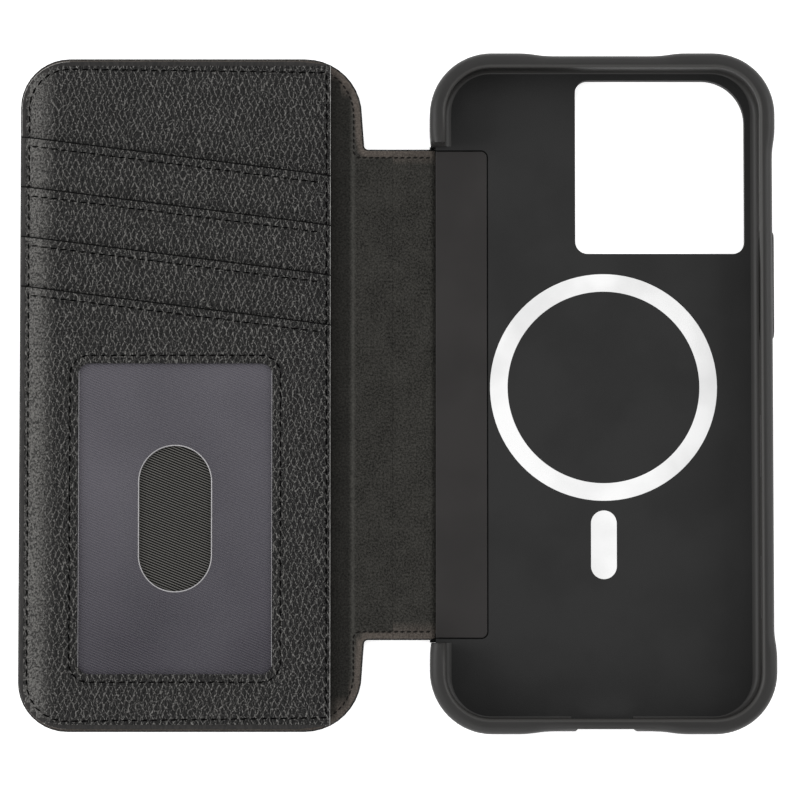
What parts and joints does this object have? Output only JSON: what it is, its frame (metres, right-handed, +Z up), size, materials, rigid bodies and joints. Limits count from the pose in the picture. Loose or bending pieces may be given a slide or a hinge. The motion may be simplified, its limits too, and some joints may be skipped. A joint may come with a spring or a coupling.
{
  "type": "phone wallet case",
  "caption": "Folio phone case lying open: soft bumper tray with magnet ring and camera window, folding spine, and a leather cover with slanted card slots and an identity card window.",
  "frame": {"origin": "centre of the open case's box at its underside", "axes": "+X from the card cover across the spine to the phone tray, +Y along the spine to the camera end, +Z up out of the tray"},
  "size_m": [0.1718, 0.1542, 0.0118],
  "materials": {
    "outer_leather": "pebbled black leather with a low sheen",
    "wallet_leather": "pebbled black leather, turned and stitched edges",
    "microfibre": "fine brushed microfibre, matt",
    "soft_rubber": "smooth satin soft plastic",
    "tray_plastic": "fine textured, matt",
    "trim_plastic": "smooth satin",
    "white_label": "flat white, matt",
    "magnet_metal": "nickel plated",
    "keeper_steel": "plain rolled strip",
    "stiff_board": "grey pressed board",
    "pocket_cloth": "thin black twill",
    "clear_film": "clear glossy film, faintly clouded"
  },
  "bodies": {
    "case": {"back_shell": "tray_plastic", "bumper_frame": "soft_rubber", "frame_keepers": "keeper_steel", "back_leather": "outer_leather", "camera_bezel": "trim_plastic", "clamp_strip": "trim_plastic", "lining_tail": "microfibre", "ring_label": "white_label", "bar_label": "white_label", "ring_magnets": "magnet_metal", "bar_magnets": "magnet_metal"},
    "spine": {"spine_leather": "outer_leather", "spine_board": "stiff_board", "spine_lining": "microfibre"},
    "cover": {"cover_leather": "outer_leather", "cover_lining": "microfibre", "cover_board": "stiff_board", "cover_magnets": "magnet_metal", "wallet_backing": "pocket_cloth", "top_panel": "wallet_leather", "slot_panel_1": "wallet_leather", "slot_panel_2": "wallet_leather", "slot_panel_3": "wallet_leather", "slot_lining_1": "pocket_cloth", "slot_lining_2": "pocket_cloth", "slot_lining_3": "pocket_cloth", "window_panel": "wallet_leather", "window_film": "clear_film", "id_pocket_lining": "pocket_cloth"},
    "button": {"side_button": "soft_rubber"}
  },
  "joints": [
    {"name": "spine_fold", "type": "hinge", "parent": "case", "child": "spine", "pos_m": [0.0083, 0, 0.0005], "axis": [0, 1, 0], "range_deg": [-90, 90]},
    {"name": "cover_fold", "type": "hinge", "parent": "spine", "child": "cover", "pos_m": [-0.0098, 0, 0.0005], "axis": [0, 1, 0], "range_deg": [-90, 90]},
    {"name": "button_press", "type": "slide", "parent": "case", "child": "button", "axis": [-1, 0, 0], "range_m": [0, 0.0005], "stiffness_N_per_m": 1000}
  ]
}
